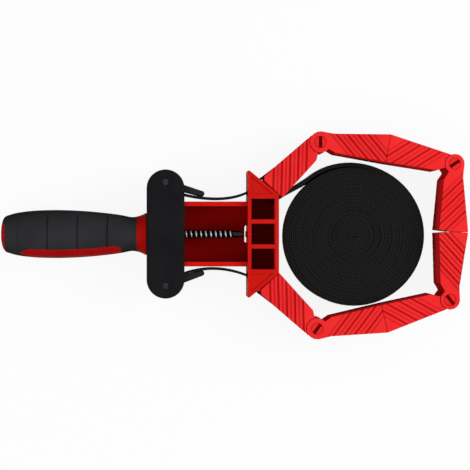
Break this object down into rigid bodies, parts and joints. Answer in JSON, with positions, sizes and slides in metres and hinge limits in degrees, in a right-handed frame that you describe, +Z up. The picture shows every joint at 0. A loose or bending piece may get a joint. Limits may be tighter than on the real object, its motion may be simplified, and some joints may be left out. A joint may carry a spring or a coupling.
{
  "type": "band clamp",
  "caption": "Band clamp with hinged corner jaws round a wound webbing band, a pocketed head with a U-channel, and a screw handle that draws a crossbar.",
  "frame": {"origin": "on the bench, under the middle of the head between its pockets; the clamp lies flat", "axes": "+X runs along the spindle from the handle to the jaws, +Y to the upper jaws in the picture, +Z up from the bench"},
  "size_m": [0.3757, 0.1666, 0.04],
  "materials": {
    "jaw_red": "satin",
    "pin_red": "satin",
    "head_red": "satin",
    "handle_red": "satin",
    "cover_black": "fine grain",
    "lever_black": "fine grain",
    "grip_black": "soft matt",
    "webbing_black": "tight weave",
    "steel_black": "black oxide, oiled",
    "steel_zinc": "zinc plated",
    "nut_brass": "machined"
  },
  "bodies": {
    "head": {"head_frame": "head_red", "thrust_stud": "steel_black", "band_coil": "webbing_black", "band_head_upper": "webbing_black", "band_head_lower": "webbing_black", "band_free_upper": "webbing_black", "band_free_lower": "webbing_black"},
    "handle": {"handle_core": "handle_red", "handle_grip": "grip_black", "spindle": "steel_black"},
    "crossbar": {"crossbar_cover_top": "cover_black", "crossbar_cover_bottom": "cover_black", "cover_screw_upper": "steel_black", "cover_screw_lower": "steel_black", "yoke": "steel_zinc", "spindle_nut": "nut_brass", "lever_pin_upper": "steel_zinc", "lever_pin_lower": "steel_zinc", "lever_spring_upper": "steel_zinc", "lever_spring_lower": "steel_zinc", "band_end_upper": "webbing_black", "band_end_lower": "webbing_black"},
    "upper_lever": {"lever_upper": "lever_black"},
    "lower_lever": {"lever_lower": "lever_black"},
    "jaw_1": {"arm_1": "jaw_red", "band_arm_1": "webbing_black"},
    "jaw_2": {"arm_2": "jaw_red", "band_arm_2": "webbing_black", "hinge_pin_1": "pin_red", "band_corner_1": "webbing_black"},
    "jaw_3": {"arm_3": "jaw_red", "band_arm_3": "webbing_black"},
    "jaw_4": {"arm_4": "jaw_red", "band_arm_4": "webbing_black", "hinge_pin_2": "pin_red", "band_corner_2": "webbing_black"},
    "jaw_5": {"arm_5": "jaw_red", "band_arm_5": "webbing_black", "hinge_pin_3": "pin_red", "band_corner_3": "webbing_black"},
    "jaw_6": {"arm_6": "jaw_red", "band_arm_6": "webbing_black"},
    "jaw_7": {"arm_7": "jaw_red", "band_arm_7": "webbing_black", "hinge_pin_4": "pin_red", "band_corner_4": "webbing_black"},
    "jaw_8": {"arm_8": "jaw_red", "band_arm_8": "webbing_black"}
  },
  "joints": [
    {"name": "handle_turn", "type": "hinge", "parent": "head", "child": "handle", "pos_m": [-0.0939, 0, 0.02], "axis": [-1, 0, 0], "range_deg": [0, 1805]},
    {"name": "crossbar_slide", "type": "slide", "parent": "head", "child": "crossbar", "axis": [1, 0, 0], "range_m": [0, 0.02], "deforming": ["band_free_upper", "band_free_lower"]},
    {"name": "lever_upper_turn", "type": "hinge", "parent": "crossbar", "child": "upper_lever", "pos_m": [-0.073, 0.0344, 0.02], "axis": [0, 0, 1], "range_deg": [0, 25], "stiffness_Nm_per_rad": 0.05, "springref_deg": -11.46},
    {"name": "lever_lower_turn", "type": "hinge", "parent": "crossbar", "child": "lower_lever", "pos_m": [-0.073, -0.0344, 0.02], "axis": [0, 0, -1], "range_deg": [0, 25], "stiffness_Nm_per_rad": 0.05, "springref_deg": -11.46},
    {"name": "head_bend_upper", "type": "hinge", "parent": "head", "child": "jaw_1", "pos_m": [-0.00092, 0.04614, 0.02], "axis": [0, 0, 1], "range_deg": [0, 25]},
    {"name": "corner_1_hinge", "type": "hinge", "parent": "jaw_1", "child": "jaw_2", "pos_m": [0.04576, 0.07368, 0.02], "axis": [0, 0, 1], "range_deg": [0, 38], "deforming": ["band_corner_1"]},
    {"name": "jaw_bend_upper", "type": "hinge", "parent": "jaw_2", "child": "jaw_3", "pos_m": [0.1019, 0.08, 0.02], "axis": [0, 0, 1], "range_deg": [0, 45]},
    {"name": "corner_2_hinge", "type": "hinge", "parent": "jaw_3", "child": "jaw_4", "pos_m": [0.1533, 0.05636, 0.02], "axis": [0, 0, 1], "range_deg": [0, 67], "deforming": ["band_corner_2"]},
    {"name": "head_bend_lower", "type": "hinge", "parent": "head", "child": "jaw_8", "pos_m": [-0.00354, -0.04819, 0.02], "axis": [0, 0, -1], "range_deg": [0, 25]},
    {"name": "corner_4_hinge", "type": "hinge", "parent": "jaw_8", "child": "jaw_7", "pos_m": [0.04313, -0.07586, 0.02], "axis": [0, 0, -1], "range_deg": [0, 41], "deforming": ["band_corner_4"]},
    {"name": "jaw_bend_lower", "type": "hinge", "parent": "jaw_7", "child": "jaw_6", "pos_m": [0.0996, -0.0791, 0.02], "axis": [0, 0, -1], "range_deg": [0, 45]},
    {"name": "corner_3_hinge", "type": "hinge", "parent": "jaw_6", "child": "jaw_5", "pos_m": [0.14958, -0.05277, 0.02], "axis": [0, 0, -1], "range_deg": [0, 60], "deforming": ["band_corner_3"]}
  ],
  "couplings": [
    {"joint": "handle_turn", "follows": "crossbar_slide", "rad_per_m": 1570.8}
  ]
}
